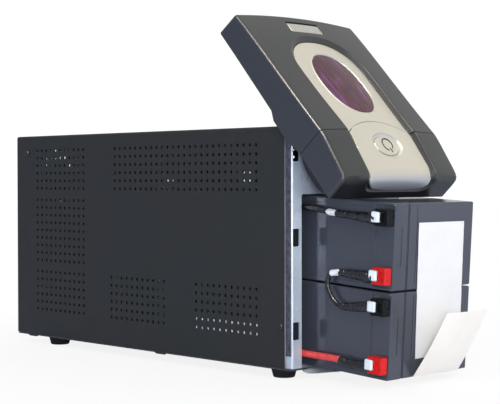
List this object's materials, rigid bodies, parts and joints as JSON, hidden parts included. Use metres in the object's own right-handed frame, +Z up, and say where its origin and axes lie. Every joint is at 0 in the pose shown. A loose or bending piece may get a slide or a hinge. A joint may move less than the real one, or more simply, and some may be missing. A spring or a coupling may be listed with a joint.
{
  "type": "uninterruptible power supply",
  "caption": "Tower uninterruptible power supply opened for service: perforated case, bezel hung back on its hooks, battery pack drawn out of its bay.",
  "frame": {"origin": "bottom centre of the whole object's box at rest, on the ground under the feet", "axes": "+Z up; the front of the case faces -Y and the battery pack draws out along -Y; +X is the right-hand side of the case for a viewer who looks at its front along +Y"},
  "size_m": [0.1396, 0.4754, 0.2879],
  "materials": {
    "cover_paint": "fine textured powder coat, dark grey",
    "pan_paint": "satin black-grey paint",
    "zinc_plate": "bright zinc plate with a faint blue cast",
    "foot_rubber": "matt moulded rubber",
    "core_steel": "varnished laminations",
    "coil_tape": "yellow insulating tape",
    "pcb_green": "solder resist",
    "heatsink_aluminium": "extruded, natural",
    "capacitor_sleeve": "shrink sleeve",
    "relay_case": "moulded",
    "black_plastic": "moulded",
    "screw_steel": "blackened",
    "bezel_plastic": "fine spark-eroded texture, warm dark grey",
    "silver_trim": "silver paint on plastic, satin",
    "window_purple": "dark tinted gloss",
    "badge_silver": "blank plate",
    "battery_abs": "fine grain with semi-gloss faces, blue-grey",
    "terminal_black": "moulded",
    "terminal_red": "moulded",
    "tab_nylon": "natural nylon",
    "cable_black": "shrink sleeve over wire",
    "cable_red": "wire insulation",
    "tape_white": "plain white label stock",
    "tab_paper": "plain off-white card",
    "slide_film": "clear polyester film"
  },
  "bodies": {
    "chassis": {"outer_cover": "cover_paint", "base_pan": "pan_paint", "front_plate": "zinc_plate", "rear_panel": "pan_paint", "bay_shelf": "zinc_plate", "bay_stop": "zinc_plate", "bay_guide_left": "zinc_plate", "bay_guide_right": "zinc_plate", "foot_front_left": "foot_rubber", "foot_front_right": "foot_rubber", "foot_rear_left": "foot_rubber", "foot_rear_right": "foot_rubber", "cover_screw_left_front": "screw_steel", "cover_screw_left_rear": "screw_steel", "cover_screw_right_front": "screw_steel", "cover_screw_right_rear": "screw_steel", "transformer_core": "core_steel", "transformer_coil": "coil_tape", "transformer_bracket": "zinc_plate", "main_pcb": "pcb_green", "heatsink": "heatsink_aluminium", "capacitor_1": "capacitor_sleeve", "capacitor_2": "capacitor_sleeve", "relay_block": "relay_case", "fan_frame": "black_plastic", "fan_guard": "zinc_plate", "power_inlet": "black_plastic", "outlet_strip": "black_plastic", "data_port": "black_plastic", "breaker_body": "black_plastic"},
    "bezel": {"bezel_upper_shell": "bezel_plastic", "bezel_lower_shell": "bezel_plastic", "bezel_hook_left": "black_plastic", "bezel_hook_right": "black_plastic", "trim_upper": "silver_trim", "trim_lower": "silver_trim", "display_window": "window_purple", "display_board": "pcb_green", "badge_plate": "badge_silver"},
    "power_button": {"power_button": "silver_trim"},
    "battery_tray": {"slide_sheet": "slide_film"},
    "battery_pack": {"battery_upper_case": "battery_abs", "battery_upper_lid": "battery_abs", "battery_lower_case": "battery_abs", "battery_lower_lid": "battery_abs", "terminal_upper_positive": "terminal_red", "terminal_lower_positive": "terminal_red", "terminal_upper_negative": "terminal_black", "terminal_lower_negative": "terminal_black", "connector_upper_positive": "tab_nylon", "connector_lower_positive": "tab_nylon", "connector_upper_negative": "tab_nylon", "connector_lower_negative": "tab_nylon", "negative_lead": "cable_black", "positive_lead": "cable_red", "jumper_lead": "cable_black", "joining_tape": "tape_white"},
    "pull_tab": {"pull_tab": "tab_paper"},
    "fan_rotor": {"fan_rotor": "black_plastic"},
    "breaker_button": {"breaker_button": "terminal_red"}
  },
  "joints": [
    {"name": "bezel_swing", "type": "hinge", "parent": "chassis", "child": "bezel", "pos_m": [0, -0.12585, 0.1821], "axis": [1, 0, 0], "range_deg": [-40, 0]},
    {"name": "power_button_press", "type": "slide", "parent": "bezel", "child": "power_button", "axis": [0, 0.749, -0.6626], "range_m": [0, 0.0012]},
    {"name": "battery_tilt", "type": "hinge", "parent": "chassis", "child": "battery_tray", "pos_m": [0, -0.12045, 0.01083], "axis": [1, 0, 0], "range_deg": [-3.4, 0]},
    {"name": "battery_slide", "type": "slide", "parent": "battery_tray", "child": "battery_pack", "axis": [0, 0.9982, 0.0593], "range_m": [0, 0.08]},
    {"name": "pull_tab_fold", "type": "hinge", "parent": "battery_pack", "child": "pull_tab", "pos_m": [0.01125, -0.20504, 0.00641], "axis": [1, 0, 0], "range_deg": [-25.5, 53.5]},
    {"name": "fan_spin", "type": "hinge", "parent": "chassis", "child": "fan_rotor", "pos_m": [-0.02625, 0.22385, 0.157], "axis": [0, 1, 0], "continuous": true},
    {"name": "breaker_reset_press", "type": "slide", "parent": "chassis", "child": "breaker_button", "axis": [0, -1, 0], "range_m": [0, 0.002]}
  ],
  "couplings": [
    {"joint": "battery_tilt", "follows": "battery_slide", "rad_per_m": -0.74177}
  ]
}
